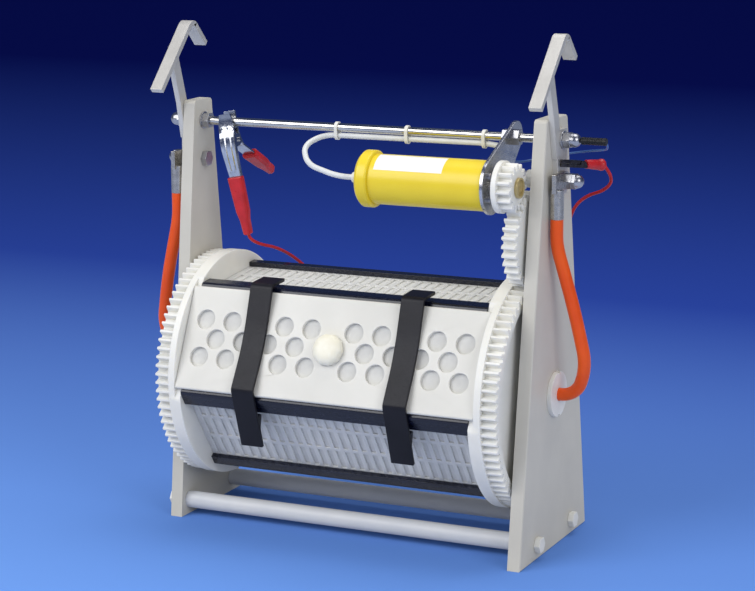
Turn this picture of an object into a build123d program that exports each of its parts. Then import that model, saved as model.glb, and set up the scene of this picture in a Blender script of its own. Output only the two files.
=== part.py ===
"""Laboratory plating-barrel unit: a geared perforated drum between two side plates, hung by V hooks.

Millimetres. X runs along the drum axis, Y from front to back, Z up. The origin is on the ground,
midway between the side plates, below the drum axis.
"""
from build123d import *
import math
import os

# Side plates
plate_inner = 170.4  # inner faces lie at this distance from the middle, each side
plate_thick = 12.0
plate_outer = plate_inner + plate_thick
plate_height = 390.0
plate_depths = {-1: (116.0, 32.0), 1: (166.0, 50.0)}  # left and right: bottom and top depth
plate_round = 4.0

# Rods and fasteners
rod_r, rod_z = 4.0, 370.5  # metal rod through both plates
bolt_z = 334.5  # bolt that clamps the hook foot and the cable lug
spacer_r, spacer_y, spacer_z = 8.0, 42.5, 13.9
bolt_r = 4.0
fit_gap = 0.1  # a fixed piece in its hole
run_gap = 0.06  # a turning piece on its shaft
rest_gap = 0.3  # pieces of different bodies that lie near each other
nut_flats, nut_high = 13.0, 6.5
washer_r, washer_thick = 8.0, 1.6

# Hooks
hook_wide, hook_thick = 12.0, 5.0
foot_half, foot_low, foot_high = 12.0, 322.0, 380.0
saddle_z, saddle_front, saddle_back = 463.5, 85.0, 34.0

# Drum
axis_z = 142.0
drum_turn = 4.5  # angle of the first corner rail, from +Y towards +Z
sides = 6
rail_half = 142.0  # half length of the rails and panels
panel_out, panel_thick, panel_half = 82.4, 4.0, 42.0
rail_out, rail_side, rail_in = 87.0, 39.3, 76.5
lid_rail_out, lid_rail_wide = 91.0, 14.6
lid_out, lid_thick, lid_half, lid_long = 94.5, 5.0, 48.4, 147.0
lid_hole_r, lid_row = 9.25, 17.6
lid_outer_holes = (21.0, 48.2, 101.3, 128.5)
lid_middle_holes = (34.6, 61.8, 87.7, 114.9)
clip_x, clip_wide, clip_thick = 74.9, 22.0, 3.0

# Gears
module, pressure, backlash = 2.5, 20.0, 0.35
drum_teeth, idler_teeth, pinion_teeth = 82, 32, 15
rim_near, rim_far, flange_near = 153.5, 167.5, 142.0
flange_r, rebate_x = 106.0, 147.4
idler_lean, pinion_lean = 7.0, 31.5  # from upright, towards the front
hub_r, hub_flange_r, hub_flange_thick = 17.0, 20.5, 4.0

# Motor
tube_r, tube_near, tube_far = 22.3, 31.0, 138.6
cap_r, cap_near = 25.5, 18.4
bracket_thick = 3.0
shaft_r = 4.0

# Cables
current_r, lead_r, wire_r, red_r = 5.75, 2.5, 1.0, 1.5

LEFT_RIGHT = ((-1, "left"), (1, "right"))
lid_angle = drum_turn + 150.0


def upright(x, y=0.0, z=0.0):
    """Plane across the drum axis at x: its own x runs along +Y and its own y along +Z."""
    return Plane(origin=(x, y, z), x_dir=(0, 1, 0), z_dir=(1, 0, 0))


def section(angle):
    """Plane across the drum axis whose own x runs out along a drum face's normal, y along the face."""
    a = math.radians(angle)
    return Plane(origin=(0, 0, axis_z), x_dir=(0, math.cos(a), math.sin(a)), z_dir=(-1, 0, 0))


def facing(angle, out):
    """Plane of a drum face at the distance out: x along the drum, z outward."""
    a = math.radians(angle)
    normal = Vector(0, math.cos(a), math.sin(a))
    return Plane(origin=Vector(0, 0, axis_z) + normal * out, x_dir=(1, 0, 0), z_dir=normal)


def write(piece, label):
    piece.part.label = label
    export_step(piece.part, f"parts/{label}.step")


def hex_prism(x, y, z, flats, high):
    with BuildPart() as prism:
        with BuildSketch(upright(x, y, z)):
            RegularPolygon(flats / 2, 6, major_radius=False)
        extrude(amount=high)
    return prism.part


def disc(x, y, z, radius, high):
    with BuildPart() as round_piece:
        with BuildSketch(upright(x, y, z)):
            Circle(radius)
        extrude(amount=high)
    return round_piece.part


def bored(x, y, z, radius, high):
    """Cuts a round hole along X from the piece being built."""
    add(disc(x, y, z, radius, high), mode=Mode.SUBTRACT)


def cap_nut(side, x, y, z, hex_high, long):
    """Dome nut whose seat is at x: a hex base, a domed end and a blind bore."""
    dome_r = nut_flats / 2 - 0.4
    with BuildPart() as nut:
        add(hex_prism(x, y, z, nut_flats, side * hex_high))
        with BuildSketch(Plane(origin=(x, y, z), x_dir=(side, 0, 0), z_dir=(0, 0, side))):
            with BuildLine():
                shoulder, slant = long - dome_r, dome_r * math.sqrt(0.5)
                Polyline((long, 0), (0, 0), (0, dome_r), (shoulder, dome_r))
                ThreePointArc((shoulder, dome_r), (shoulder + slant, slant), (long, 0))
            make_face()
        revolve(axis=Axis((x, y, z), (1, 0, 0)))
        bored(x - side, y, z, bolt_r + fit_gap, side * (long - 3.0))
    return nut.part


def involute(angle):
    return math.tan(angle) - angle


def draw_gear(teeth, turn, curved=True):
    """Outline of an involute spur gear with one tooth centred at the angle turn, in degrees.

    The flanks of a large gear are nearly flat, and curved=False draws them straight.
    """
    pitch_r = module * teeth / 2
    base_r = pitch_r * math.cos(math.radians(pressure))
    root_r, tip_r = pitch_r - 1.25 * module, pitch_r + module
    start_r = max(base_r, root_r)
    half = math.pi / (2 * teeth) - backlash / (4 * pitch_r)

    def flank(r):
        return half + involute(math.radians(pressure)) - involute(math.acos(min(1.0, base_r / r)))

    def spot(r, angle):
        return (r * math.cos(angle), r * math.sin(angle))

    middle_r = (start_r + tip_r) / 2
    pitch = 2 * math.pi / teeth
    for tooth in range(teeth):
        mid = math.radians(turn) + tooth * pitch
        low, up = mid - flank(start_r), mid + flank(start_r)
        tip_low, tip_up = mid - flank(tip_r), mid + flank(tip_r)
        Line(spot(tip_r, tip_low), spot(tip_r, tip_up))
        if curved:
            ThreePointArc(spot(start_r, low), spot(middle_r, mid - flank(middle_r)), spot(tip_r, tip_low))
            ThreePointArc(spot(tip_r, tip_up), spot(middle_r, mid + flank(middle_r)), spot(start_r, up))
        else:
            Line(spot(start_r, low), spot(tip_r, tip_low))
            Line(spot(tip_r, tip_up), spot(start_r, up))
        next_low = low + pitch
        if root_r < start_r:
            Line(spot(start_r, up), spot(root_r, up))
            Line(spot(root_r, next_low), spot(start_r, next_low))
        Line(spot(root_r, up), spot(root_r, next_low))


def bend_radii(points):
    """Bend radii of a cord: 0.45 of the shorter run over the tangent of half the turn."""
    radii = []
    for a, b, c in zip(points, points[1:], points[2:]):
        before, after = Vector(*b) - Vector(*a), Vector(*c) - Vector(*b)
        turn = math.radians(before.get_angle(after))
        radii.append(0.45 * min(before.length, after.length) / math.tan(turn / 2))
    return radii


def cord(label, points, radius):
    radii = bend_radii(points)
    with BuildPart() as tube:
        with BuildLine():
            route = FilletPolyline(*points, radius=radii)
        with BuildSketch(Plane(origin=route @ 0, z_dir=route % 0)):
            Circle(radius)
        sweep()
    print(label, "bend radii", [round(r, 1) for r in radii], "length", round(route.length, 1),
          "volume share", round(tube.part.volume / (math.pi * radius**2 * route.length), 4))
    write(tube, label)
    return tube


os.makedirs("parts", exist_ok=True)

# Places of the gear train: the idler stands on the drum's gear, the pinion on the idler.
to_idler = math.radians(90 + idler_lean)
to_pinion = math.radians(90 + pinion_lean)
idler_reach = module * (drum_teeth + idler_teeth) / 2
pinion_reach = module * (idler_teeth + pinion_teeth) / 2
idler_y = idler_reach * math.cos(to_idler)
idler_z = axis_z + idler_reach * math.sin(to_idler)
motor_y = idler_y + pinion_reach * math.cos(to_pinion)
motor_z = idler_z + pinion_reach * math.sin(to_pinion)
drum_gear_turn = 90 + idler_lean
idler_turn = drum_gear_turn + 180 + 180 / idler_teeth
slip = (idler_turn - (90 + pinion_lean)) / (360 / idler_teeth)
pinion_turn = (90 + pinion_lean) + 180 - slip * 360 / pinion_teeth + 180 / pinion_teeth
idler_near, idler_far = 154.0, 167.0
pinion_flange, pinion_near, pinion_far = 148.2, 152.6, 164.6

# ---- Side plates ----
for side, name in LEFT_RIGHT:
    bottom, top = plate_depths[side]
    with BuildPart() as plate:
        with BuildSketch(upright(side * plate_inner)):
            with BuildLine():
                Polyline((-bottom / 2, 0), (bottom / 2, 0), (top / 2, plate_height), (-top / 2, plate_height),
                         close=True)
            make_face()
        extrude(amount=side * plate_thick)
        fillet(plate.edges().filter_by(Axis.X).group_by(Axis.Z)[-1], plate_round)
        chamfer(plate.faces().sort_by(Axis.X)[-1 if side > 0 else 0].edges(), 0.8)
        x = side * (plate_inner - 1)
        through = side * (plate_thick + 2)
        bored(x, 0, rod_z, rod_r + fit_gap, through)
        bored(x, 0, bolt_z, bolt_r + fit_gap, through)
        bored(x, 0, axis_z, hub_r + fit_gap, through)
        for y in (-spacer_y, spacer_y):
            bored(x, y, spacer_z, bolt_r + fit_gap, through)
        if side > 0:
            bored(x, idler_y, idler_z, 5.0 + fit_gap, 7.0)
    write(plate, f"{name}_plate")

# ---- Rods between the plates ----
rod_end = plate_outer + hook_thick + washer_thick + 9.0
with BuildPart() as top_rod:
    add(disc(-rod_end, 0, rod_z, rod_r, 2 * rod_end))
write(top_rod, "top_rod")

screw_deep = 14.0
with BuildPart() as spacer_rods:
    for y in (-spacer_y, spacer_y):
        add(disc(-plate_inner, y, spacer_z, spacer_r, 2 * plate_inner))
        for side, _ in LEFT_RIGHT:
            bored(side * (plate_inner + 1), y, spacer_z, bolt_r + fit_gap, -side * (screw_deep + 2))
write(spacer_rods, "spacer_rods")

with BuildPart() as spacer_screws:
    for side, _ in LEFT_RIGHT:
        for y in (-spacer_y, spacer_y):
            add(hex_prism(side * plate_outer, y, spacer_z, nut_flats, side * 5.5))
            add(disc(side * plate_outer, y, spacer_z, bolt_r, -side * (plate_thick + screw_deep)))
write(spacer_screws, "spacer_screws")

hook_face = plate_outer + hook_thick
bracket_near, bracket_far = tube_far, tube_far + bracket_thick
with BuildPart() as rod_nuts:
    for side, _ in LEFT_RIGHT:
        add(disc(side * plate_inner, 0, rod_z, washer_r, -side * washer_thick))
        add(hex_prism(side * (plate_inner - washer_thick), 0, rod_z, nut_flats, -side * nut_high))
        add(disc(side * hook_face, 0, rod_z, washer_r, side * washer_thick))
        bored(side * (plate_inner - 12), 0, rod_z, rod_r + fit_gap, side * 40)
    add(hex_prism(bracket_far, 0, rod_z, nut_flats, nut_high))
    add(hex_prism(bracket_near, 0, rod_z, nut_flats, -nut_high))
    bored(bracket_near - 10, 0, rod_z, rod_r + fit_gap, 22)
write(rod_nuts, "rod_nuts")

lug_thick = 4.0
lug_face = hook_face + lug_thick
with BuildPart() as cap_nuts:
    for side, _ in LEFT_RIGHT:
        add(cap_nut(side, side * (hook_face + washer_thick), 0, rod_z, nut_high, 15.5))
        add(cap_nut(side, side * (lug_face + nut_high), 0, bolt_z, 3.0, 9.3))
write(cap_nuts, "cap_nuts")

# ---- Hooks: flat foot, leaning arm and a saddle bent from strip ----
arm_foot, arm_top = (-8.0, 356.0), (-29.3, 431.0)
for side, name in LEFT_RIGHT:
    with BuildPart() as hook:
        with BuildSketch(upright(side * plate_outer)):
            with Locations((0, (foot_low + foot_high) / 2)):
                RectangleRounded(2 * foot_half, foot_high - foot_low, 2.0)
        extrude(amount=side * hook_thick)
        with BuildSketch(upright(side * plate_outer)):
            with BuildLine():
                Polyline(arm_foot, (-15.5, 390.0), arm_top)
            trace(line_width=hook_wide)
        extrude(amount=side * hook_thick)
        with BuildSketch(upright(side * (plate_outer + hook_thick / 2))):
            with BuildLine():
                reach_f, reach_b = saddle_front / math.sqrt(2), saddle_back / math.sqrt(2)
                FilletPolyline((-reach_f, saddle_z - reach_f), (0, saddle_z), (reach_b, saddle_z - reach_b),
                               radius=8.0)
            trace(line_width=hook_thick)
        extrude(amount=hook_wide / 2, both=True)
        for z in (rod_z, bolt_z):
            bored(side * (plate_outer - 1), 0, z, bolt_r + fit_gap, side * 8)
    write(hook, f"hook_{name}")

# ---- Lug bolts, nuts and lugs ----
sleeve_long, head_high = 14.9, 5.5
with BuildPart() as lug_bolts:
    for side, _ in LEFT_RIGHT:
        head = plate_inner - (sleeve_long if side > 0 else 0)
        add(hex_prism(side * head, 0, bolt_z, nut_flats, -side * head_high))
        add(disc(side * head, 0, bolt_z, bolt_r, side * (lug_face + nut_high + 5.0 - head)))
write(lug_bolts, "lug_bolts")

with BuildPart() as bolt_sleeve:
    add(disc(plate_inner, 0, bolt_z, 8.0, -sleeve_long))
    bored(plate_inner + 1, 0, bolt_z, bolt_r + fit_gap, -sleeve_long - 2)
write(bolt_sleeve, "bolt_sleeve")

with BuildPart() as lug_nuts:
    for side, _ in LEFT_RIGHT:
        add(hex_prism(side * lug_face, 0, bolt_z, nut_flats, side * nut_high))
        bored(side * (lug_face - 1), 0, bolt_z, bolt_r + fit_gap, side * (nut_high + 2))
write(lug_nuts, "lug_nuts")

lug_x, lug_y = 189.4, -18.0
barrel_r, barrel_low, palm_low = 5.9, 303.0, 326.0
with BuildPart() as cable_lugs:
    for side, _ in LEFT_RIGHT:
        with BuildSketch(upright(side * hook_face)):
            with BuildLine():
                Polyline((-26, palm_low), (0, palm_low), (0, 343), (-26, 343), close=True)
            make_face()
            with Locations((0, bolt_z)):
                Circle(8.5)
        extrude(amount=side * lug_thick)
        with BuildSketch(Plane.XY.offset(barrel_low)):
            with Locations((side * lug_x, lug_y)):
                Circle(barrel_r)
        extrude(amount=palm_low - barrel_low + 3.0)
        bored(side * (hook_face - 1), 0, bolt_z, bolt_r + fit_gap, side * (lug_thick + 2))
write(cable_lugs, "cable_lugs")

# ---- Hubs, washers and current cables ----
hub_end = 143.5
with BuildPart() as hub_bushes:
    for side, _ in LEFT_RIGHT:
        add(disc(side * plate_outer, 0, axis_z, hub_flange_r, side * hub_flange_thick))
        add(disc(side * plate_outer, 0, axis_z, hub_r, -side * (plate_outer - hub_end)))
        for z in (-hub_flange_r, hub_flange_r):
            with Locations((side * (plate_outer + hub_flange_thick / 2 + 1), 0, axis_z + z)):
                Box(hub_flange_thick + 2, 5.0, 4.0, mode=Mode.SUBTRACT)
        bored(side * (hub_end - 1), 0, axis_z, current_r + fit_gap, side * (plate_outer - hub_end + 8))
write(hub_bushes, "hub_bushes")

thrust_gap = plate_inner - rim_far - rest_gap
with BuildPart() as thrust_washers:
    for side, _ in LEFT_RIGHT:
        add(disc(side * plate_inner, 0, axis_z, 26.0, -side * thrust_gap))
        bored(side * (plate_inner + 1), 0, axis_z, hub_r + fit_gap, -side * 6)
write(thrust_washers, "thrust_washers")

current_route = (
    (lug_x, lug_y, barrel_low), (lug_x, lug_y, 280.0), (205.0, -13.5, 222.0), (214.5, -8.0, 172.0),
    (203.0, 0.0, axis_z), (112.0, 0.0, axis_z), (101.0, 0.0, 126.0), (101.0, 0.0, 106.0),
)
for side, name in LEFT_RIGHT:
    cord(f"cable_{name}", [(side * x, y, z) for x, y, z in current_route], current_r)

end_x, _, end_z = current_route[-1]
with BuildPart() as danglers:
    with BuildSketch(Plane.XY.offset(end_z)):
        with Locations((-end_x, 0), (end_x, 0)):
            Circle(8.0)
    extrude(amount=-26.0)
    chamfer(danglers.edges().group_by(Axis.Z)[0], 3.0)
write(danglers, "danglers")

# ---- Drum end gears ----
lid_plane = facing(lid_angle, 0)
ledge_out = lid_out - lid_thick - fit_gap
for side, name in LEFT_RIGHT:
    with BuildPart() as gear:
        with BuildSketch(upright(side * rim_near, 0, axis_z)):
            with BuildLine():
                draw_gear(drum_teeth, drum_gear_turn, curved=False)
            make_face()
        extrude(amount=side * (rim_far - rim_near))
        add(disc(side * flange_near, 0, axis_z, flange_r, side * (rim_near - flange_near)))
        add(disc(side * rim_far, 0, axis_z, 94.0, -side * 5.0), mode=Mode.SUBTRACT)
        add(disc(side * rim_far, 0, axis_z, 28.0, -side * 5.0))
        with BuildSketch(section(lid_angle).offset(-side * flange_near)):
            with Locations(((ledge_out + flange_r) / 2 + 1, 0)):
                Rectangle(flange_r - ledge_out + 2, 2 * flange_r)
        extrude(amount=-side * (rebate_x - flange_near), mode=Mode.SUBTRACT)
        bored(side * (flange_near - 1), 0, axis_z, hub_r + run_gap, side * (rim_far - flange_near + 2))
    write(gear, f"end_gear_{name}")

# ---- Corner rails ----
tan30 = math.tan(math.radians(30))
groove_top, groove_low = panel_out + fit_gap, panel_out - panel_thick - fit_gap


def corner_rail(angle, out, lid_side):
    """Rail on one drum corner. lid_side is 1 or -1 where the lid lies beside it, and 0 elsewhere."""
    def edge(sign, points):
        a = math.radians(angle + sign * 30)
        normal, along = (math.cos(a), math.sin(a)), (sign * math.sin(a), -sign * math.cos(a))
        return [(u * normal[0] + s * along[0], u * normal[1] + s * along[1]) for u, s in points]

    ledge_s = 43.2
    side_s = rail_side if out == rail_out else out * tan30 - lid_rail_wide
    groove_s = panel_half + fit_gap
    grooved = [(out, side_s), (groove_top, side_s), (groove_top, groove_s), (groove_low, groove_s),
               (groove_low, side_s), (rail_in, side_s)]
    ledge = [(out, lid_half + rest_gap), (ledge_out, lid_half + rest_gap), (ledge_out, ledge_s),
             (rail_in, ledge_s)]
    corner = [(out, out * tan30)]
    inner = [(rail_in, rail_in * tan30)]
    first = ledge if lid_side > 0 else grooved
    second = ledge if lid_side < 0 else grooved
    outline = edge(1, corner + first + inner) + edge(-1, second)[::-1]
    with BuildPart() as rail:
        with BuildSketch(upright(0, 0, axis_z)):
            with BuildLine():
                Polyline(*outline, close=True)
            make_face()
        extrude(amount=rail_half, both=True)
        lengthwise = rail.edges().filter_by(Axis.X)
        ridge = lengthwise.sort_by(lambda e: math.hypot(e.center().Y, e.center().Z - axis_z))
        fillet(ridge[-1], 4.0)
    return rail


rail_names = ("e", "a", "b", "c", "d", "f")
for number, name in enumerate(rail_names):
    beside_lid = {2: 1, 3: -1}.get(number, 0)
    rail = corner_rail(drum_turn + 60 * number, lid_rail_out if beside_lid else rail_out, beside_lid)
    write(rail, f"rail_{name}")

# ---- Perforated panels ----
slot_columns, slot_rows = 10, 3
for number in range(sides):
    if number == 2:
        continue
    angle = drum_turn + 30 + 60 * number
    with BuildPart() as panel:
        with BuildSketch(facing(angle, panel_out)):
            Rectangle(2 * rail_half, 2 * panel_half)
            with GridLocations(2 * rail_half / slot_columns, 24.0, slot_columns, slot_rows):
                Rectangle(21.0, 18.0, mode=Mode.SUBTRACT)
        extrude(amount=-panel_thick)
    write(panel, f"panel_{rail_names[number]}{rail_names[(number + 1) % sides]}")

# ---- Lid, knob and clips ----
with BuildPart() as lid:
    with BuildSketch(facing(lid_angle, lid_out)):
        Rectangle(2 * lid_long, 2 * lid_half)
        spots = [(x, row) for x in lid_outer_holes for row in (-lid_row, lid_row)]
        spots += [(x, 0) for x in lid_middle_holes]
        with Locations(*spots, *[(-x, row) for x, row in spots]):
            Circle(lid_hole_r, mode=Mode.SUBTRACT)
    extrude(amount=-lid_thick)
    edges = lid.edges().filter_by(Axis.X)
    fillet(edges.sort_by(lambda e: (e.center() - lid_plane.origin).dot(lid_plane.z_dir))[-2:], 1.5)
write(lid, "lid")

knob_r, knob_high = 14.5, 9.0
with BuildPart() as lid_knob:
    with BuildSketch(facing(lid_angle, lid_out)):
        Circle(knob_r)
    extrude(amount=knob_high)
    top = lid_knob.edges().sort_by(lambda e: (e.center() - lid_plane.origin).dot(lid_plane.z_dir))[-1]
    chamfer(top, 2.5)
write(lid_knob, "lid_knob")

clip_line = ((80.5, 64.0), (101.0, 52.5), (96.5, 14.0), (96.3, -10.0), (100.5, -45.5), (60.0, -87.5))
clip_bends = [5.0, 150.0, 150.0, 5.0]
for side, name in LEFT_RIGHT:
    with BuildPart() as clip:
        with BuildSketch(section(lid_angle).offset(-side * clip_x)):
            with BuildLine():
                FilletPolyline(*clip_line, radius=clip_bends)
            trace(line_width=clip_thick)
            with BuildLine():
                Polyline((80.7, -65.3), (78.9, -60.9), (75.0, -60.6), (71.0, -75.4), close=True)
            make_face()
        extrude(amount=clip_wide / 2, both=True)
    write(clip, f"clip_{name}")

# ---- Idler ----
axle_r = 5.0
with BuildPart() as idler_axle:
    add(disc(plate_inner + 5.8, idler_y, idler_z, axle_r, -(plate_inner + 5.8 - idler_near + 1.2)))
    add(disc(idler_near - rest_gap, idler_y, idler_z, 8.0, -3.0))
write(idler_axle, "idler_axle")

with BuildPart() as idler_gear:
    with BuildSketch(upright(idler_near, idler_y, idler_z)):
        with BuildLine():
            draw_gear(idler_teeth, idler_turn)
        make_face()
    extrude(amount=idler_far - idler_near)
    add(disc(idler_far, idler_y, idler_z, 12.0, plate_inner - rest_gap - idler_far))
    bored(idler_near - 1, idler_y, idler_z, axle_r + run_gap, 20)
write(idler_gear, "idler_gear")

# ---- Motor, bracket and pinion ----
with BuildPart() as motor_tube:
    add(disc(tube_near, motor_y, motor_z, tube_r, tube_far - tube_near))
    bored(tube_far + 1, motor_y, motor_z, shaft_r + run_gap, -9.0)
write(motor_tube, "motor_tube")

with BuildPart() as motor_end_cap:
    add(disc(cap_near, motor_y, motor_z, cap_r, tube_near - cap_near))
    chamfer(motor_end_cap.edges().sort_by(Axis.X)[0], 3.0)
    chamfer(motor_end_cap.edges().sort_by(Axis.X)[-1], 1.2)
write(motor_end_cap, "motor_end_cap")

gland_long = 11.0
with BuildPart() as motor_gland:
    add(hex_prism(cap_near, motor_y, motor_z, 11.0, -4.0))
    add(disc(cap_near, motor_y, motor_z, 4.6, -gland_long))
    bored(cap_near + 1, motor_y, motor_z, lead_r + fit_gap, -gland_long - 3)
write(motor_gland, "motor_gland")

with BuildPart() as motor_bracket:
    with BuildSketch(upright(bracket_near)):
        with Locations((motor_y, motor_z)):
            Circle(25.0)
        with Locations((8.0, 371.0)):
            Circle(13.0)
        make_hull()
    extrude(amount=bracket_thick)
    bored(bracket_near - 1, 0, rod_z, rod_r + fit_gap, 5)
    bored(bracket_near - 1, motor_y, motor_z, shaft_r + run_gap, 5)
write(motor_bracket, "motor_bracket")

with BuildPart() as motor_screws:
    for turn in (45, 135, 225, 315):
        y = motor_y + 14.0 * math.cos(math.radians(turn))
        z = motor_z + 14.0 * math.sin(math.radians(turn))
        add(disc(bracket_far, y, z, 3.2, 2.6))
write(motor_screws, "motor_screws")

with BuildPart() as motor_shaft:
    add(disc(tube_far - 7.0, motor_y, motor_z, shaft_r, pinion_far - 2 - (tube_far - 7.0)))
write(motor_shaft, "motor_shaft")

with BuildPart() as pinion:
    with BuildSketch(upright(pinion_near, motor_y, motor_z)):
        with BuildLine():
            draw_gear(pinion_teeth, pinion_turn)
        make_face()
    extrude(amount=pinion_far - pinion_near)
    add(disc(pinion_flange, motor_y, motor_z, 23.0, pinion_near - pinion_flange))
    bored(pinion_flange - 1, motor_y, motor_z, shaft_r + fit_gap, pinion_far - 2 - pinion_flange + 1)
write(pinion, "pinion")

with BuildPart() as pinion_boss:
    add(disc(pinion_far, motor_y, motor_z, 9.0, 3.0))
    bored(pinion_far + 1, motor_y, motor_z, 7.0, 3.0)
write(pinion_boss, "pinion_boss")

# ---- Motor cable, its ties, the thin wire and its plug ----
lead_z = rod_z - rod_r - lead_r - rest_gap
motor_route = (
    (cap_near, motor_y, motor_z), (-8.0, motor_y, motor_z), (-43.0, -38.5, 341.0), (-56.0, -20.0, 355.0),
    (-44.0, -0.8, lead_z - 0.4), (114.0, 0.0, lead_z), (131.0, -2.0, 362.0),
)
cord("motor_cable", motor_route, lead_r)

with BuildPart() as cable_ties:
    for x in (-31.0, 39.0, 114.0):
        for grow, mode in ((1.2, Mode.ADD), (0.15, Mode.SUBTRACT)):
            with BuildSketch(upright(x)):
                with Locations((0, rod_z)):
                    Circle(rod_r + grow)
                with Locations((0, lead_z)):
                    Circle(lead_r + grow + 1.0)
                make_hull()
            extrude(amount=1.6 if mode == Mode.ADD else 3.0, both=True, mode=mode)
write(cable_ties, "cable_ties")

plug_near, plug_far, plug_r = 204.8, 228.0, 3.4
with BuildPart() as wire_plug:
    add(disc(plug_near, 0, rod_z, plug_r, plug_far - plug_near))
    chamfer(wire_plug.edges(), 0.6)
write(wire_plug, "wire_plug")

wire_route = (
    (131.25, -2.03, 361.97), (134.5, -2.4, 361.6), (136.5, 2.0, 350.5), (137.0, 22.0, 344.5),
    (150.0, 39.0, 346.5), (173.0, 45.0, 351.5), (197.0, 39.0, 356.0), (218.0, 20.0, 360.5),
    (227.5, 6.0, 364.0),
)
cord("blue_wire", wire_route, wire_r)

# ---- Battery clamp on the top rod ----
clamp_plane = Plane(origin=(-144.0, 0, rod_z), x_dir=(0.178, 0, -0.984), z_dir=(0.984, 0, 0.178))
pin_at, pin_r = (18.0, 0.0), 2.0
jaw_thick, jaw_half, grip_thick = 2.0, 8.0, 9.0
clamp_halves = (
    ("front", -1, ((-9.0, -5.3), (9.0, -5.3), (18.0, -9.0), (30.0, -7.42), (52.0, -5.3)), (107.0, 0.0),
     ((12.0, -7.0), (24.0, -8.6), (22.0, 4.0), (14.0, 4.0))),
    ("back", 1, ((-9.0, 5.3), (9.0, 5.3), (18.0, 7.6), (24.0, 10.85), (34.0, 28.7)), (54.9, 66.0),
     ((12.0, 6.2), (22.0, 9.5), (22.0, -4.0), (14.0, -4.0))),
)
for name, out, line, handle_end, cheek in clamp_halves:
    half_wide = jaw_half if out < 0 else jaw_half - 2.0
    with BuildPart() as jaw:
        with BuildSketch(clamp_plane):
            with BuildLine():
                Polyline(*line)
            trace(line_width=jaw_thick)
        extrude(amount=half_wide, both=True)
        with BuildSketch(clamp_plane):
            with BuildLine():
                Polyline(*[(x, y + out * jaw_thick / 2) for x, y in line[1:]])
            trace(line_width=jaw_thick)
        extrude(amount=2.2, both=True)
        for z in (half_wide, 1.5 - half_wide):
            with BuildSketch(clamp_plane.offset(z)):
                with BuildLine():
                    Polyline(*cheek, close=True)
                make_face()
            extrude(amount=-1.5)
        with BuildSketch(clamp_plane):
            with Locations(pin_at):
                Circle(pin_r + run_gap)
        extrude(amount=20, both=True, mode=Mode.SUBTRACT)
    write(jaw, f"clamp_jaw_{name}")
    near, far = (clamp_plane.from_local_coords((*spot, 0)) for spot in (line[-1], handle_end))
    grip_long = (far - near).length
    across = clamp_plane.z_dir
    grip_plane = Plane(origin=near, x_dir=far - near, z_dir=(far - near).cross(across))
    with BuildPart() as sleeve:
        with BuildSketch(grip_plane):
            edge = ((0, 7.4), (0.6 * grip_long, 6.3), (0.74 * grip_long, 4.5), (grip_long, 3.8))
            with BuildLine():
                Polyline(*edge, *[(x, -y) for x, y in reversed(edge)], close=True)
            make_face()
        extrude(amount=grip_thick / 2, both=True)
        chamfer(sleeve.edges().filter_by(lambda e: abs(e.tangent_at(0).dot(grip_plane.x_dir)) > 0.9), 1.8)
    write(sleeve, f"clamp_sleeve_{name}")

with BuildPart() as clamp_pin:
    with BuildSketch(clamp_plane):
        with Locations(pin_at):
            Circle(pin_r)
    extrude(amount=9.5, both=True)
write(clamp_pin, "clamp_pin")

with BuildPart() as clamp_spring:
    with BuildSketch(clamp_plane):
        with Locations(pin_at):
            Circle(3.6)
            Circle(pin_r + rest_gap, mode=Mode.SUBTRACT)
    extrude(amount=4.0, both=True)
write(clamp_spring, "clamp_spring")

# ---- Small spring clip on the hook foot, and the wire between it and the clamp ----
clip_reach, boot_near = 49.6, 29.0
pivot_x, pivot_z, pivot_r, lobe_r = 24.0, 1.5, 0.8, 1.5
croc_plane = Plane(origin=(189.8, -11.0, 351.5), x_dir=(0.484, 0.867, -0.121), z_dir=(0.059, 0.105, 0.993))
croc_side = Plane(origin=croc_plane.origin, x_dir=croc_plane.x_dir, z_dir=-croc_plane.y_dir)
cheek_out, cheek_thick = 3.2, 0.7


def croc_half(low, long):
    """Flat half of the small clip, 3 mm thick, tapered towards its nose."""
    with BuildPart() as half:
        with BuildSketch(croc_plane.offset(low)):
            with BuildLine():
                Polyline((0, -1.2), (9, -3.2), (long, -3.2), (long, 3.2), (9, 3.2), (0, 1.2), close=True)
            make_face()
        extrude(amount=3.0)
    return half.part


with BuildPart() as croc_body:
    add(croc_half(-3.2, boot_near - rest_gap))
    for sign in (-1, 1):
        with BuildSketch(croc_side.offset(sign * cheek_out)):
            with BuildLine():
                Polyline((20.8, -1.0), (20.8, 1.0), (22.5, 3.0), (25.5, 3.0), (27.5, 1.0), (27.5, -1.0),
                         close=True)
            make_face()
        extrude(amount=-sign * cheek_thick)
    with BuildSketch(croc_side):
        with Locations((pivot_x, pivot_z)):
            Circle(pivot_r)
    extrude(amount=cheek_out + 0.5, both=True)
write(croc_body, "croc_body")

with BuildPart() as croc_jaw:
    add(croc_half(0.2, 19.5))
    with BuildSketch(croc_side):
        with BuildLine():
            Polyline((17.0, 0.2), (pivot_x, 0.2), (pivot_x, pivot_z + lobe_r), (17.0, pivot_z + lobe_r),
                     close=True)
        make_face()
        with Locations((pivot_x, pivot_z)):
            Circle(lobe_r)
            Circle(pivot_r + run_gap, mode=Mode.SUBTRACT)
    extrude(amount=cheek_out - cheek_thick - 0.3, both=True)
write(croc_jaw, "croc_jaw")

with BuildPart() as croc_boot:
    with BuildSketch(croc_plane):
        with BuildLine():
            Polyline((boot_near, 0), (boot_near, 5.2), (boot_near + 8, 5.2), (clip_reach, 2.8),
                     (clip_reach, 0), close=True)
        make_face()
    revolve(axis=Axis(croc_plane.origin, croc_plane.x_dir))
write(croc_boot, "croc_boot")

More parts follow.
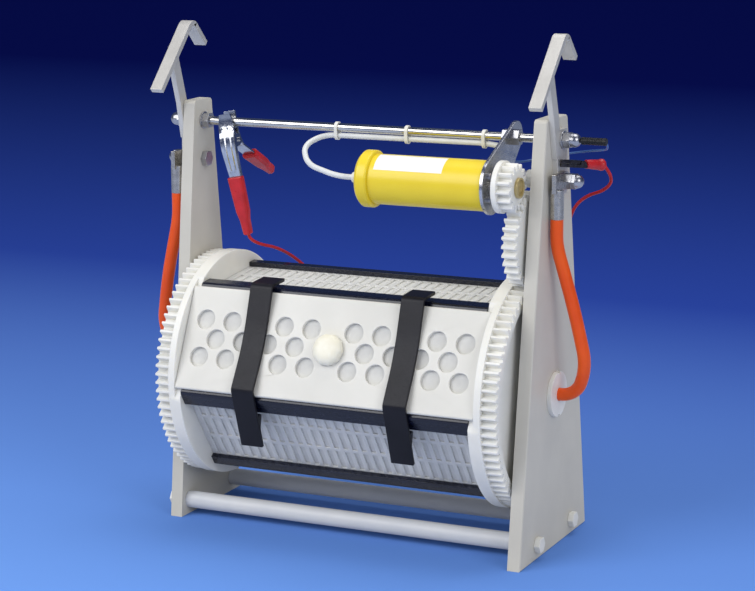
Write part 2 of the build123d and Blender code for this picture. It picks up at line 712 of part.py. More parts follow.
red_route = (
    (-124.9, 0.0, 265.0), (-124.2, 1.0, 260.5), (-120.5, 14.0, 254.5), (-121.0, 40.0, 247.5),
    (-127.0, 68.0, 232.0), (-121.0, 96.0, 206.0), (-85.0, 118.0, 180.0), (-30.0, 125.0, 164.0),
    (35.0, 125.0, 164.0), (90.0, 120.0, 180.0), (138.0, 104.0, 213.0), (167.0, 77.0, 264.0),
    (182.0, 58.0, 297.0), (197.0, 49.5, 311.5), (212.0, 45.0, 323.0), (217.5, 41.0, 337.0),
    (213.9, 32.3, 345.4),
)
cord("red_wire", red_route, red_r)
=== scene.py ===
import math

import bmesh
import bpy
from mathutils import Matrix, Vector


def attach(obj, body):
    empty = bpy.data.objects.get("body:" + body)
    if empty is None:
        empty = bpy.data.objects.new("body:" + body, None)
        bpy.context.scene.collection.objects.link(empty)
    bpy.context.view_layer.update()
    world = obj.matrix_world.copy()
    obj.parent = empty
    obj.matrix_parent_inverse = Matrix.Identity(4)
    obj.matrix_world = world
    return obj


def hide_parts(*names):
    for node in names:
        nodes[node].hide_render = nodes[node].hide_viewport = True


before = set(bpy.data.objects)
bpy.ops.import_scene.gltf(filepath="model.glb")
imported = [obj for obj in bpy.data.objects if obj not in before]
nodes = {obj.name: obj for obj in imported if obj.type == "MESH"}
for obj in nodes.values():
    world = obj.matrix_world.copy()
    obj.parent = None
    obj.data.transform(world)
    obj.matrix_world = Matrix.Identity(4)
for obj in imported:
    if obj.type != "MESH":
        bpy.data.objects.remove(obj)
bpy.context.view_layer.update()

# ---- Camera ----
# A long lens a little above the drum and to its right, so that the lid and the motor side both show.
camera_place = Vector((0.9010, -1.9082, 0.6489))
camera_yaw, camera_pitch, camera_roll = 25.076, 11.579, -0.34
camera_data = bpy.data.cameras.new("studio_camera")
camera_data.lens, camera_data.sensor_width = 111.84, 36.0
camera_data.clip_end = 20.0
camera = bpy.data.objects.new("studio_camera", camera_data)
camera.matrix_world = (
    Matrix.Translation(camera_place)
    @ Matrix.Rotation(math.radians(camera_yaw), 4, "Z")
    @ Matrix.Rotation(math.radians(90 - camera_pitch), 4, "X")
    @ Matrix.Rotation(math.radians(camera_roll), 4, "Z")
)
bpy.context.scene.collection.objects.link(camera)
bpy.context.scene.camera = camera


# ---- Side plates ----
# Two plates sawn from 12 mm warm-grey polypropylene sheet, edges broken by a scraper; the face keeps
# a faint press grain and the sawn edges are a little rougher. The rods and bushes hold them together.
def paint(hex_colour):
    """A colour written as sRGB hex, turned to linear values."""
    parts = [int(hex_colour[i : i + 2], 16) / 255 for i in (1, 3, 5)]
    return [c / 12.92 if c <= 0.04045 else ((c + 0.055) / 1.055) ** 2.4 for c in parts] + [1.0]


def add_node(tree, kind, settings=None, **links):
    """Adds a shader node, sets its fields and sockets by name and joins the outputs given as links."""
    made = tree.nodes.new(kind)
    for key, value in (settings or {}).items():
        if hasattr(made, key):
            setattr(made, key, value)
        else:
            made.inputs[key].default_value = value
    for key, output in links.items():
        tree.links.new(output, made.inputs[key.replace("_", " ")])
    return made


def new_material(name, **surface):
    """A material whose principled shader has the given sockets; returns it, its tree and the shader."""
    material = bpy.data.materials.new(name)
    material.use_nodes = True
    tree = material.node_tree
    shader = tree.nodes["Principled BSDF"]
    for key, value in surface.items():
        shader.inputs[key.replace("_", " ")].default_value = value
    return material, tree, shader


def noise_of(tree, size_mm, detail=4.0, stretch=(1, 1, 1)):
    """Noise of a real size in millimetres, in the piece's own metres."""
    place = add_node(tree, "ShaderNodeTexCoord")
    scaled = add_node(tree, "ShaderNodeMapping", {"Scale": stretch}, Vector=place.outputs["Object"])
    return add_node(tree, "ShaderNodeTexNoise", {"Scale": 1000.0 / size_mm, "Detail": detail},
                    Vector=scaled.outputs[0])


def grain(tree, shader, size_mm, depth_mm, roughness=None, stretch=(1, 1, 1)):
    """Fine noise as a small bump and, when given, as a roughness range."""
    noise = noise_of(tree, size_mm, stretch=stretch)
    bump = add_node(tree, "ShaderNodeBump", {"Strength": 0.5, "Distance": depth_mm / 1000},
                    Height=noise.outputs[0])
    tree.links.new(bump.outputs[0], shader.inputs["Normal"])
    if roughness:
        smooth, rough = roughness
        levels = {"From Min": 0.3, "From Max": 0.7, "To Min": smooth, "To Max": rough}
        spread = add_node(tree, "ShaderNodeMapRange", levels, Value=noise.outputs[0])
        tree.links.new(spread.outputs[0], shader.inputs["Roughness"])


def mottle(tree, shader, pale, dark, size_mm):
    """Cloudy change between two near colours, as handling and mould flow leave it."""
    noise = noise_of(tree, size_mm, detail=5.0)
    level = add_node(tree, "ShaderNodeMapRange", {"From Min": 0.35, "From Max": 0.65},
                     Value=noise.outputs[0])
    mix = add_node(tree, "ShaderNodeMix", {"data_type": "RGBA"})
    mix.inputs[6].default_value, mix.inputs[7].default_value = paint(pale), paint(dark)
    tree.links.new(level.outputs[0], mix.inputs[0])
    tree.links.new(mix.outputs[2], shader.inputs["Base Color"])


def milky(shader, weight, depth_mm, tint=(1.0, 1.0, 1.0)):
    """Lets light scatter inside a plastic to a depth in millimetres, in a neutral or a given tint."""
    shader.inputs["Subsurface Weight"].default_value = weight
    shader.inputs["Subsurface Radius"].default_value = tint
    shader.inputs["Subsurface Scale"].default_value = depth_mm / 1000


def dress(names, material, edge_mm=0.0, split=40):
    """Gives CAD pieces their material, softened edges and clean shading."""
    for name in names:
        piece = nodes[name]
        piece.data.materials.clear()
        piece.data.materials.append(material)
        piece.data.shade_smooth()
        weld = piece.modifiers.new("weld", "WELD")
        weld.merge_threshold = 2e-6
        if edge_mm:
            soft = piece.modifiers.new("soft_edge", "BEVEL")
            soft.width, soft.segments = edge_mm / 1000, 3
            soft.limit_method, soft.angle_limit = "ANGLE", math.radians(30)
            soft.use_clamp_overlap = False
        parted = piece.modifiers.new("parted", "EDGE_SPLIT")
        parted.split_angle = math.radians(split)
        piece.modifiers.new("flat_faces", "WEIGHTED_NORMAL")


grey_polypropylene, tree, shader = new_material("grey_polypropylene", IOR=1.49)
milky(shader, 0.08, 3)
mottle(tree, shader, "#CBC8BF", "#C3C0B8", 60)
grain(tree, shader, 0.9, 0.05, (0.42, 0.52))
dress(["left_plate", "right_plate"], grey_polypropylene)

# ---- Spacer rods and their screws ----
# Two 16 mm rods of natural polypropylene between the plates, each held by a moulded hex screw per end.
natural_rod, tree, shader = new_material("natural_polypropylene_rod", IOR=1.49)
milky(shader, 0.35, 4)
mottle(tree, shader, "#D6D8DC", "#CDD0D6", 40)
grain(tree, shader, 0.5, 0.03, (0.35, 0.45), stretch=(0.1, 1, 1))
dress(["spacer_rods"], natural_rod)

moulded_white, tree, shader = new_material("moulded_white_nylon", IOR=1.53)
milky(shader, 0.2, 2)
mottle(tree, shader, "#E6E6E2", "#DEDEDA", 14)
grain(tree, shader, 0.6, 0.03, (0.3, 0.4))
dress(["spacer_screws"], moulded_white, 0.5)

# ---- Hubs, thrust washers and bolt sleeve ----
# Turned and moulded bushes pressed into the plates; the hollow journals carry the drum and let the
# current cables in, and a thin washer keeps each end gear off its plate.
dress(["hub_bushes", "thrust_washers", "bolt_sleeve"], moulded_white, 0.3)

# ---- Top rod, nuts and bolts ----
# An 8 mm polished stainless rod with threaded ends; chromed hex nuts, washers and dome nuts hold it
# and the lug bolts.
polished_steel, tree, shader = new_material("polished_stainless_rod", Metallic=1.0)
mottle(tree, shader, "#D9D6CE", "#CFCCC4", 30)
grain(tree, shader, 0.25, 0.01, (0.1, 0.2), stretch=(0.05, 1, 1))
dress(["top_rod", "motor_shaft", "idler_axle", "clamp_pin"], polished_steel)

chromed_steel, tree, shader = new_material("chromed_fastener_steel", Metallic=1.0)
mottle(tree, shader, "#C4C4C6", "#B4B4B8", 10)
grain(tree, shader, 0.4, 0.01, (0.25, 0.38))
dress(["rod_nuts", "cap_nuts", "lug_bolts", "lug_nuts"], chromed_steel, 0.25)

# ---- Hooks ----
# Flat stainless strip, bent to a V saddle and welded to its arm and foot, bead-blasted to a satin skin.
satin_steel, tree, shader = new_material("satin_stainless_strip", Metallic=0.7)
mottle(tree, shader, "#E2DFD8", "#D8D5CE", 25)
grain(tree, shader, 0.35, 0.02, (0.5, 0.62))
dress(["hook_left", "hook_right"], satin_steel, 0.4)

# ---- Cable lugs and current cables ----
# Tinned copper lugs crimped on 11.5 mm cables in orange silicone; inside the drum the cables end in
# steel contact danglers.
tinned_copper, tree, shader = new_material("tinned_copper", Metallic=1.0)
mottle(tree, shader, "#D2CEC6", "#B9B4AC", 6)
grain(tree, shader, 1.2, 0.06, (0.2, 0.4))
dress(["cable_lugs"], tinned_copper, 0.4)
dress(["danglers"], satin_steel, 0.4)

orange_silicone, tree, shader = new_material("orange_silicone", IOR=1.43)
milky(shader, 0.1, 1)
mottle(tree, shader, "#EC5A12", "#E24E0C", 30)
grain(tree, shader, 1.5, 0.03, (0.28, 0.38))
dress(["cable_left", "cable_right"], orange_silicone, split=60)

# ---- End gears, idler and pinion ----
# Gears milled from natural polypropylene sheet: milky, a little translucent, with faint tool marks.
natural_sheet, tree, shader = new_material("natural_polypropylene_sheet", IOR=1.49)
milky(shader, 0.45, 6, tint=(1.0, 0.95, 0.85))
mottle(tree, shader, "#ECEBE6", "#E4E4E0", 35)
grain(tree, shader, 0.7, 0.04, (0.34, 0.46))
dress(["end_gear_left", "end_gear_right", "idler_gear", "pinion"], natural_sheet)

cream_moulding, tree, shader = new_material("cream_moulding", IOR=1.5)
milky(shader, 0.4, 4)
mottle(tree, shader, "#EFEDE0", "#E9E5D5", 9)
grain(tree, shader, 0.8, 0.05, (0.32, 0.45))
brass_bush, tree, shader = new_material("brass_bush", Metallic=0.6)
mottle(tree, shader, "#CDBB88", "#BBA772", 5)
grain(tree, shader, 0.3, 0.02, (0.3, 0.4))
dress(["pinion_boss"], brass_bush, 0.3)

# ---- Corner rails ----
# Six rails milled from black-blue PVC with a polished skin, grooved for the panels and let in between
# the end gears.
black_pvc, tree, shader = new_material("black_blue_pvc", IOR=1.54)
mottle(tree, shader, "#0D1227", "#0A0E1F", 50)
grain(tree, shader, 1.4, 0.02, (0.2, 0.3), stretch=(0.2, 1, 1))
dress([name for name in nodes if name.startswith("rail_")], black_pvc, 0.3)

# ---- Perforated panels ----
# Sheets of natural polypropylene, 4 mm thick, with three rows of thirty narrow slots and a rib between
# the rows, pushed into the rail grooves. A fine filter cloth is moulded into the sheet, so that no
# small parts fall out. The lid takes the sixth face.
drum_axis, drum_turn, face_step = 0.142, 4.5, 60
panel_out, panel_thick, panel_half, rail_half = 0.0824, 0.004, 0.042, 0.142
slot_count, slot_pitch, slot_wide = 30, 0.0092, 0.0052
slot_rows, row_pitch, slot_long = 3, 0.0265, 0.0228
panel_edge = 0.0005
translucent_panel, tree, shader = new_material("translucent_slotted_sheet", IOR=1.49)
milky(shader, 0.6, 8, tint=(1.0, 0.97, 0.9))
mottle(tree, shader, "#E6E6E3", "#DCDDDC", 20)
grain(tree, shader, 0.9, 0.06, (0.3, 0.42))
filter_cloth, tree, shader = new_material("woven_filter_cloth", Roughness=0.7)
milky(shader, 0.3, 2)
mottle(tree, shader, "#DDDDDA", "#D3D3D1", 12)
weave_mm, weave_deep = 0.45, 0.00005
place = add_node(tree, "ShaderNodeTexCoord")
weave = add_node(tree, "ShaderNodeTexChecker", {"Scale": 1000.0 / weave_mm},
                 Vector=place.outputs["Object"])
bump = add_node(tree, "ShaderNodeBump", {"Strength": 0.4, "Distance": weave_deep},
                Height=weave.outputs[1])
tree.links.new(bump.outputs[0], shader.inputs["Normal"])
cloth_deep, cloth_thick, cloth_in = 0.0018, 0.0004, 0.001


def lattice_lines(half, count, pitch, opening):
    """Places of the slot edges along one side of a panel, from -half to half."""
    lines = [-half]
    for i in range(count):
        middle = (i - (count - 1) / 2) * pitch
        lines += [middle - opening / 2, middle + opening / 2]
    return lines + [half]


def slotted_panel(name, angle):
    """One slotted panel on the drum face whose normal stands at the angle from +Y towards +Z."""
    xs = lattice_lines(rail_half, slot_count, slot_pitch, slot_wide)
    ys = lattice_lines(panel_half, slot_rows, row_pitch, slot_long)
    mesh = bmesh.new()
    top, low = [[[mesh.verts.new((x, y, z)) for y in ys] for x in xs] for z in (0.0, -panel_thick)]

    def solid(i, j):
        inside = 0 <= i < len(xs) - 1 and 0 <= j < len(ys) - 1
        return inside and not (i % 2 and j % 2)

    for i in range(len(xs) - 1):
        for j in range(len(ys) - 1):
            if not solid(i, j):
                continue
            corners = [(i, j), (i + 1, j), (i + 1, j + 1), (i, j + 1)]
            mesh.faces.new([top[a][b] for a, b in corners])
            mesh.faces.new([low[a][b] for a, b in reversed(corners)])
            for k, (di, dj) in enumerate(((0, -1), (1, 0), (0, 1), (-1, 0))):
                if not solid(i + di, j + dj):
                    (a, b), (c, d) = corners[k], corners[(k + 1) % 4]
                    mesh.faces.new([top[c][d], top[a][b], low[a][b], low[c][d]])
    cloth = bmesh.ops.create_cube(mesh, size=1.0)["verts"]
    cloth_size = (2 * (rail_half - cloth_in), 2 * (panel_half - cloth_in), cloth_thick)
    bmesh.ops.scale(mesh, verts=cloth, vec=cloth_size)
    bmesh.ops.translate(mesh, verts=cloth, vec=(0, 0, -cloth_deep))
    for face in {face for vert in cloth for face in vert.link_faces}:
        face.material_index = 1
    bmesh.ops.recalc_face_normals(mesh, faces=mesh.faces)
    data = bpy.data.meshes.new(name)
    mesh.to_mesh(data)
    mesh.free()
    panel = bpy.data.objects.new(name, data)
    turn = math.radians(angle)
    normal = Vector((0, math.cos(turn), math.sin(turn)))
    along = normal.cross(Vector((1, 0, 0)))
    facing = Matrix((Vector((1, 0, 0)), along, normal)).transposed().to_4x4()
    panel.matrix_world = Matrix.Translation(Vector((0, 0, drum_axis)) + normal * panel_out) @ facing
    bpy.context.scene.collection.objects.link(panel)
    soft = panel.modifiers.new("soft_edge", "BEVEL")
    soft.width, soft.segments, soft.limit_method = panel_edge, 2, "ANGLE"
    data.shade_smooth()
    panel.modifiers.new("flat_faces", "WEIGHTED_NORMAL")
    data.materials.append(translucent_panel)
    data.materials.append(filter_cloth)
    return panel


for number, cad_name in enumerate(("panel_ea", "panel_ab", None, "panel_cd", "panel_df", "panel_fe")):
    if cad_name:
        panel = slotted_panel(f"slotted_{cad_name}", drum_turn + face_step * (number + 0.5))
        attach(panel, "drum")
        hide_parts(cad_name)

# ---- Lid and knob ----
# The lid is a loose 5 mm sheet of the same natural polypropylene with twenty-four drilled holes, backed
# by discs of the same cloth; its low cream knob is moulded and screwed on from inside.
lid_sheet, tree, shader = new_material("natural_polypropylene_lid", IOR=1.49)
milky(shader, 0.4, 5, tint=(1.0, 0.97, 0.9))
mottle(tree, shader, "#DEDDD8", "#D6D5D0", 70)
grain(tree, shader, 1.1, 0.03, (0.38, 0.5))
dress(["lid"], lid_sheet, 0.4)

lid_turn = math.radians(drum_turn + 2.5 * face_step)
lid_out, lid_row, lid_hole_r, lid_cloth_deep = 0.0945, 0.0176, 0.00925, 0.0042
lid_normal = Vector((0, math.cos(lid_turn), math.sin(lid_turn)))
lid_along = lid_normal.cross(Vector((1, 0, 0)))


def on_lid(x, y, out):
    """A place on the lid: x along the drum, y up the lid's face and out above its outer skin."""
    return Vector((x, 0, drum_axis)) + lid_along * y + lid_normal * (lid_out + out)


def lathed(mesh, profile, count, spot, lobes=0.0, lobe_count=10):
    """Turns a profile of (radius, height) pairs round the place that spot(x, y, height) gives."""
    rings = []
    for radius, high in profile:
        ring = []
        for k in range(count):
            turn = 2 * math.pi * k / count
            reach = radius * (1 - lobes + lobes * math.cos(lobe_count * turn))
            ring.append(mesh.verts.new(spot(reach * math.cos(turn), reach * math.sin(turn), high)))
        rings.append(ring)
    for before, after in zip(rings, rings[1:]):
        for k in range(count):
            mesh.faces.new((before[k], before[(k + 1) % count], after[(k + 1) % count], after[k]))
    mesh.faces.new(rings[0])
    mesh.faces.new(rings[-1])


def finished(mesh, name, material, body, replaced=None, split=40):
    """Turns a bmesh into a smooth piece that rides on a body, stands for CAD nodes and has a slot."""
    bmesh.ops.recalc_face_normals(mesh, faces=mesh.faces)
    data = bpy.data.meshes.new(name)
    mesh.to_mesh(data)
    mesh.free()
    data.shade_smooth()
    piece = bpy.data.objects.new(name, data)
    bpy.context.scene.collection.objects.link(piece)
    parted = piece.modifiers.new("parted", "EDGE_SPLIT")
    parted.split_angle = math.radians(split)
    data.materials.append(material)
    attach(piece, body)
    if replaced:
        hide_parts(replaced)
    return piece


outer_holes, middle_holes = (0.0210, 0.0482, 0.1013, 0.1285), (0.0346, 0.0618, 0.0877, 0.1149)
holes = [(x, row) for x in outer_holes for row in (-lid_row, lid_row)] + [(x, 0.0) for x in middle_holes]
mesh = bmesh.new()
for x, y in holes + [(-x, y) for x, y in holes]:
    lathed(mesh, [(lid_hole_r, 0.0), (lid_hole_r, cloth_thick)], 28,
           lambda dx, dy, high: on_lid(x + dx, y + dy, high - lid_cloth_deep))
finished(mesh, "lid_filter_cloth", filter_cloth, "lid")

knob_profile = (
    (0.0138, 0.0), (0.0145, 0.0008), (0.0145, 0.0034), (0.0141, 0.0050), (0.0131, 0.0065),
    (0.0115, 0.0077), (0.0092, 0.0085), (0.0062, 0.0089), (0.0020, 0.0090),
)
mesh = bmesh.new()
lathed(mesh, knob_profile, 60, on_lid, lobes=0.018)
finished(mesh, "lid_knob_moulding", cream_moulding, "lid", "lid_knob", split=70)

# ---- Clips ----
# Two black rubber-like straps of 3 mm sheet, bent to snap over the rails, with a soft satin skin.
black_strap, tree, shader = new_material("black_strap_rubber", IOR=1.5)
shader.inputs["Specular IOR Level"].default_value = 0.3
mottle(tree, shader, "#15151E", "#0F0F17", 25)
grain(tree, shader, 1.2, 0.05, (0.36, 0.5))
dress(["clip_left", "clip_right"], black_strap, 0.5)

# ---- Motor ----
# A small gearmotor in a yellow enamelled tube with a moulded end cap, on a polished bracket plate.
yellow_enamel, tree, shader = new_material("yellow_enamel", IOR=1.5)
shader.inputs["Coat Weight"].default_value = 0.2
shader.inputs["Coat Roughness"].default_value = 0.2
mottle(tree, shader, "#EFD62C", "#E9CE26", 40)
grain(tree, shader, 1.8, 0.03, (0.34, 0.44))
dress(["motor_tube"], yellow_enamel, split=60)
dress(["motor_end_cap"], yellow_enamel, 0.6)
dress(["motor_gland"], moulded_white, 0.3)
bracket_steel, tree, shader = new_material("bright_rolled_bracket", Metallic=1.0)
mottle(tree, shader, "#CDCDCE", "#BFC0C4", 12)
grain(tree, shader, 0.5, 0.01, (0.18, 0.32), stretch=(1, 0.1, 1))
dress(["motor_bracket"], bracket_steel, 0.3)
dress(["motor_screws"], chromed_steel, 0.3)

# A bare white paper label is stuck round part of the tube, its print left out.
motor_y, motor_z, label_r, label_thick = -0.04807, 0.33353, 0.0224, 0.0001
label_near, label_far, label_low, label_high, label_steps = 0.036, 0.101, 96.0, 149.5, 24
label_skin = ((label_near, label_r - label_thick), (label_near, label_r), (label_far, label_r),
              (label_far, label_r - label_thick))
paper_label, tree, shader = new_material("white_paper_label")
mottle(tree, shader, "#F2F2F0", "#ECECEA", 8)
grain(tree, shader, 0.3, 0.01, (0.4, 0.5))
mesh = bmesh.new()
rows = []
for i in range(label_steps + 1):
    turn = math.radians(label_low + (label_high - label_low) * i / label_steps)
    y, z = math.cos(turn), math.sin(turn)
    rows.append([mesh.verts.new((x, motor_y + r * y, motor_z + r * z)) for x, r in label_skin])
for before, after in zip(rows, rows[1:]):
    for k in range(4):
        mesh.faces.new((before[k], before[(k + 1) % 4], after[(k + 1) % 4], after[k]))
mesh.faces.new(rows[0])
mesh.faces.new(rows[-1])
finished(mesh, "motor_label", paper_label, "frame")

# ---- Motor cable and ties ----
# A round white PVC lead loops from the gland to the rod, where translucent nylon ties hold it.
white_pvc, tree, shader = new_material("white_pvc_lead", IOR=1.52)
milky(shader, 0.15, 1)
mottle(tree, shader, "#DDE0E1", "#D3D6D9", 15)
grain(tree, shader, 1.0, 0.02, (0.3, 0.42))
dress(["motor_cable"], white_pvc, split=60)
dress(["cable_ties"], moulded_white, 0.3)


# ---- Wires and plug ----
# The red test wire is limp stranded copper in silicone; it runs from the battery clamp, sags behind
# the drum and comes up behind the right plate to the small clip, whose moulded boot widens to a round
# rim where the wire leaves. The blue wire feeds the motor plug.
def wire_curve(name, points_mm, radius):
    """A smooth round wire whose control points are given in millimetres."""
    curve = bpy.data.curves.new(name, "CURVE")
    curve.dimensions, curve.bevel_depth, curve.bevel_resolution = "3D", radius, 4
    curve.resolution_u, curve.use_fill_caps = 10, True
    spline = curve.splines.new("NURBS")
    spline.points.add(len(points_mm) - 1)
    for point, place in zip(spline.points, points_mm):
        point.co = (*(c / 1000 for c in place), 1.0)
    spline.order_u = 3
    spline.use_endpoint_u = True
    wire = bpy.data.objects.new(name, curve)
    bpy.context.scene.collection.objects.link(wire)
    return wire


red_grip, tree, shader = new_material("dipped_red_pvc", IOR=1.52)
milky(shader, 0.1, 1)
mottle(tree, shader, "#C81F26", "#B4171E", 10)
grain(tree, shader, 1.5, 0.06, (0.26, 0.4))
clip_place = Vector((0.1898, -0.011, 0.3515))
clip_axis = Vector((0.484, 0.867, -0.121)).normalized()
clip_side = clip_axis.cross(Vector((0, 0, 1))).normalized()
clip_up = clip_side.cross(clip_axis)
boot_profile = (
    (0.0030, 0.0288), (0.0037, 0.0290), (0.0039, 0.0296), (0.0042, 0.0350), (0.0046, 0.0415),
    (0.0048, 0.0452), (0.0052, 0.0458), (0.0054, 0.0467), (0.0053, 0.0478), (0.0048, 0.0488),
    (0.0038, 0.0494), (0.0015, 0.0496),
)


def on_clip(dx, dy, high):
    """A place on the small clip: its two cross directions and the distance along it."""
    return clip_place + clip_side * dx + clip_up * dy + clip_axis * high


mesh = bmesh.new()
lathed(mesh, boot_profile, 36, on_clip)
boot = finished(mesh, "moulded_boot", red_grip, "frame", "croc_boot", split=50)

red_route = (
    (-124.9, 0, 265), (-124.2, 1, 260.5), (-120.5, 14, 253.5), (-116, 40, 246.5),
    (-110, 69, 231.5), (-101, 98, 206), (-76, 120, 178), (-30, 125, 159),
    (35, 125, 159), (90, 120, 177), (136, 105, 211), (160, 82, 262),
    (172, 64, 297), (189, 55, 313), (210, 49, 320), (220.5, 42, 333),
    (213.9, 32.3, 345.4),
)
red_silicone, tree, shader = new_material("red_silicone_wire", IOR=1.43)
mottle(tree, shader, "#C61E26", "#B2161E", 12)
grain(tree, shader, 0.8, 0.02, (0.32, 0.44))
red_wire = wire_curve("red_test_wire", red_route, 0.0015)
red_wire.data.materials.append(red_silicone)
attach(red_wire, "frame")
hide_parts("red_wire")

plug_near, plug_far, plug_r, plug_end_r, rod_z = 0.2048, 0.2280, 0.0034, 0.0028, 0.3705
first_rib, rib_count, rib_pitch, rib_deep, plug_bevel = 0.0045, 8, 0.0021, 0.0004, 0.0006
black_rubber, tree, shader = new_material("black_plug_rubber", IOR=1.5)
mottle(tree, shader, "#121316", "#0B0C0E", 6)
grain(tree, shader, 0.5, 0.03, (0.35, 0.5))
core_r = 1e-5
profile = [(core_r, plug_near), (plug_end_r, plug_near), (plug_r, plug_near + plug_bevel),
           (plug_r, plug_near + 0.004)]
for i in range(rib_count):
    start = plug_near + first_rib + i * rib_pitch
    profile += [(plug_r - rib_deep, start), (plug_r - rib_deep, start + 0.0007), (plug_r, start + 0.001),
                (plug_r, start + 0.0018)]
profile += [(plug_r, plug_far - plug_bevel), (plug_end_r, plug_far), (core_r, plug_far)]
mesh = bmesh.new()
lathed(mesh, profile, 32, lambda y, z, x: Vector((x, y, rod_z + z)))
plug = finished(mesh, "ribbed_plug", black_rubber, "frame", "wire_plug", split=35)

blue_route = (
    (131.2, -2.03, 362), (134.5, -2.4, 361.6), (136.5, 2, 350.5), (137, 22, 344.5),
    (150, 39, 346.5), (173, 45, 351.5), (197, 39, 356), (216, 22, 360),
    (226.3, 9.5, 363), (226.6, 3.6, 368.6),
)
blue_pvc, tree, shader = new_material("blue_pvc_wire", IOR=1.52)
mottle(tree, shader, "#4A70B0", "#3C62A4", 9)
grain(tree, shader, 0.8, 0.02, (0.3, 0.4))
blue_wire = wire_curve("motor_plug_wire", blue_route, 0.001)
blue_wire.data.materials.append(blue_pvc)
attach(blue_wire, "frame")
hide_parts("blue_wire")

# ---- Battery clamp and small clip ----
# Pressed and chromed steel jaws on a rivet, sprung shut on the rod, with dip-moulded red PVC grips.
# The front jaw is curved, with two ribs, edges turned back and a cheek on each side for the rivet. The
# small clip at the wire's other end has darker jaws.
pressed_chrome, tree, shader = new_material("pressed_chrome_plate", Metallic=1.0)
mottle(tree, shader, "#D6D8DC", "#BEC3CC", 7)
grain(tree, shader, 1.5, 0.05, (0.12, 0.24))
dress(["clamp_jaw_back", "clamp_spring"], pressed_chrome, 0.3)

clamp_place = Vector((-0.144, 0, rod_z))
clamp_down = Vector((0.178, 0, -0.984)).normalized()
clamp_across = Vector((0.984, 0, 0.178)).normalized()
jaw_sheet, jaw_tip, jaw_root, jaw_steps = 1.6, -7.0, 52.0, 44
flange_deep, flange_start, flange_run = 2.4, 6, 5
rib_out, rib_start, rib_end, rib_run = 1.0, 5, 49, 3
cheek_line = ((11, -7.6), (25, -8.4), (23, 1), (21.5, 3.2), (18, 4.2), (14.5, 3.2), (13, 1))
cheek_inner, cheek_outer = 6.5, 7.8
jaw_line = ((-7, -5.9), (0, -6.1), (8, -7.4), (16, -9.3), (26, -9.7), (38, -8.5), (52, -6.2))
jaw_width = ((-7, 5.6), (0, 7.2), (8, 7.9), (26, 7.9), (40, 6.9), (52, 6.3))
half_section = ((0.18, 0, 0), (0.28, 0, 1), (0.46, 0, 1), (0.56, 0, 0), (0.9, 0, 0), (0.98, 0.35, 0),
                (1.0, 1, 0))
jaw_section = [(-t, back, out) for t, back, out in reversed(half_section)] + list(half_section)


def on_clamp(x, y, z):
    """A place on the clamp in millimetres: x down from the rod's axis, y to the back, z across."""
    return clamp_place + (clamp_down * x + Vector((0, y, 0)) + clamp_across * z) / 1000


def eased(x, table):
    """The value at x of a table of (place, value) pairs, run smoothly from one to the next."""
    for i in range(len(table) - 1):
        (x0, v0), (x1, v1) = table[i], table[i + 1]
        if x <= x1:
            slopes = []
            for k in (i, i + 1):
                low, high = table[max(k - 1, 0)], table[min(k + 1, len(table) - 1)]
                slopes.append((high[1] - low[1]) / (high[0] - low[0]) * (x1 - x0))
            t = (x - x0) / (x1 - x0)
            return (v0 * (2 * t**3 - 3 * t**2 + 1) + slopes[0] * (t**3 - 2 * t**2 + t)
                    + v1 * (3 * t**2 - 2 * t**3) + slopes[1] * (t**3 - t**2))
    return table[-1][1]


def jaw_row(mesh, x, inner):
    """One row of points across the front jaw, on its outer skin or a sheet's thickness further in."""
    lip = flange_deep * min(max((x - flange_start) / flange_run, 0), 1)
    rib = rib_out * min(max((x - rib_start) / rib_run, 0), 1) * min(max((rib_end - x) / rib_run, 0), 1)
    wide, skin = eased(x, jaw_width), eased(x, jaw_line) + jaw_sheet * inner
    return [mesh.verts.new(on_clamp(x, skin + lip * back - rib * out, wide * t))
            for t, back, out in jaw_section]


mesh = bmesh.new()
places = [jaw_tip + (jaw_root - jaw_tip) * i / jaw_steps for i in range(jaw_steps + 1)]
skins = [[jaw_row(mesh, x, inner) for x in places] for inner in (0, 1)]
outer, inner = skins
edge = len(jaw_section) - 1
for skin in skins:
    for i in range(jaw_steps):
        for k in range(edge):
            mesh.faces.new((skin[i][k], skin[i + 1][k], skin[i + 1][k + 1], skin[i][k + 1]))
for i in range(jaw_steps):
    for k in (0, edge):
        mesh.faces.new((outer[i][k], outer[i + 1][k], inner[i + 1][k], inner[i][k]))
for i in (0, jaw_steps):
    for k in range(edge):
        mesh.faces.new((outer[i][k], outer[i][k + 1], inner[i][k + 1], inner[i][k]))
for side in (-1, 1):
    near, far = [[mesh.verts.new(on_clamp(x, y, side * z)) for x, y in cheek_line]
                 for z in (cheek_inner, cheek_outer)]
    for k in range(len(cheek_line)):
        after = (k + 1) % len(cheek_line)
        mesh.faces.new((near[k], near[after], far[after], far[k]))
    mesh.faces.new(near)
    mesh.faces.new(far)
finished(mesh, "pressed_front_jaw", pressed_chrome, "frame", "clamp_jaw_front", split=38)
dress(["clamp_sleeve_front", "clamp_sleeve_back"], red_grip, 1.0, split=60)
dark_clip, tree, shader = new_material("dark_plated_clip", Metallic=1.0)
mottle(tree, shader, "#5A5658", "#3E3B3E", 4)
grain(tree, shader, 0.8, 0.02, (0.2, 0.35))
dress(["croc_body", "croc_jaw"], dark_clip, 0.15)

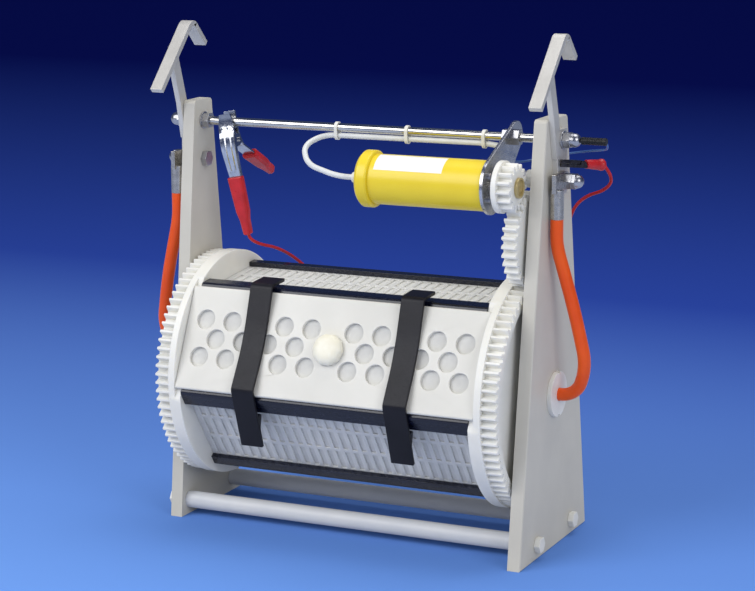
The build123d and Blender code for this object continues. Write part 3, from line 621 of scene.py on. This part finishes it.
# ---- Floor, backdrop and light ----
# A studio sweep that is blue only to the camera, darker with distance; large soft lamps as in a small
# product studio.
floor_paper, tree, shader = new_material("blue_studio_sweep", Roughness=0.9)
place = add_node(tree, "ShaderNodeTexCoord")
parts = add_node(tree, "ShaderNodeSeparateXYZ", Vector=place.outputs["Object"])
fade = add_node(tree, "ShaderNodeMapRange", {"From Min": -0.3, "From Max": 3.6}, Value=parts.outputs[1])
ramp = add_node(tree, "ShaderNodeValToRGB", Fac=fade.outputs[0])
ramp.color_ramp.elements[0].color = paint("#6A97E4")
ramp.color_ramp.elements[1].color = paint("#0B1460")
middle = ramp.color_ramp.elements.new(0.35)
middle.color = paint("#2A44A0")
rays = add_node(tree, "ShaderNodeLightPath")
mix = add_node(tree, "ShaderNodeMix", {"data_type": "RGBA"})
mix.inputs[6].default_value = paint("#A9B6D6")
tree.links.new(rays.outputs["Is Camera Ray"], mix.inputs[0])
tree.links.new(ramp.outputs[0], mix.inputs[7])
tree.links.new(mix.outputs[2], shader.inputs["Base Color"])
shader.inputs["Specular IOR Level"].default_value = 0.0
floor_size = 14.0
bpy.ops.mesh.primitive_plane_add(size=floor_size, location=(0, 0, 0))
floor = bpy.context.object
floor.name = "studio_floor"
floor.data.materials.append(floor_paper)

world = bpy.data.worlds.new("studio")
world.use_nodes = True
tree = world.node_tree
backdrop = tree.nodes["Background"]
rays = add_node(tree, "ShaderNodeLightPath")
seen = add_node(tree, "ShaderNodeMath", {"operation": "MAXIMUM"})
tree.links.new(rays.outputs["Is Camera Ray"], seen.inputs[0])
tree.links.new(rays.outputs["Is Glossy Ray"], seen.inputs[1])
mix = add_node(tree, "ShaderNodeMix", {"data_type": "RGBA"})
mix.inputs[6].default_value, mix.inputs[7].default_value = paint("#F1EFEA"), paint("#4A5A86")
tree.links.new(seen.outputs[0], mix.inputs[0])
tree.links.new(mix.outputs[2], backdrop.inputs["Color"])
backdrop.inputs["Strength"].default_value = 0.55
bpy.context.scene.world = world
bpy.context.scene.view_settings.view_transform = "Standard"


def soft_lamp(name, place, aim, size, watts):
    """A white square lamp of a size in metres at a place, turned to the point that it lights."""
    data = bpy.data.lights.new(name, "AREA")
    data.shape, data.size, data.energy = "SQUARE", size, watts
    lamp = bpy.data.objects.new(name, data)
    lamp.location = place
    lamp.rotation_euler = (Vector(aim) - Vector(place)).to_track_quat("-Z", "Y").to_euler()
    bpy.context.scene.collection.objects.link(lamp)


lit_point = (0, 0, 0.2)
soft_lamp("key", (-1.15, -1.95, 1.75), lit_point, 1.8, 40)
soft_lamp("fill", (1.9, -1.2, 1.2), lit_point, 1.2, 15)
soft_lamp("top", (0.2, 0.5, 2.4), lit_point, 1.6, 21)
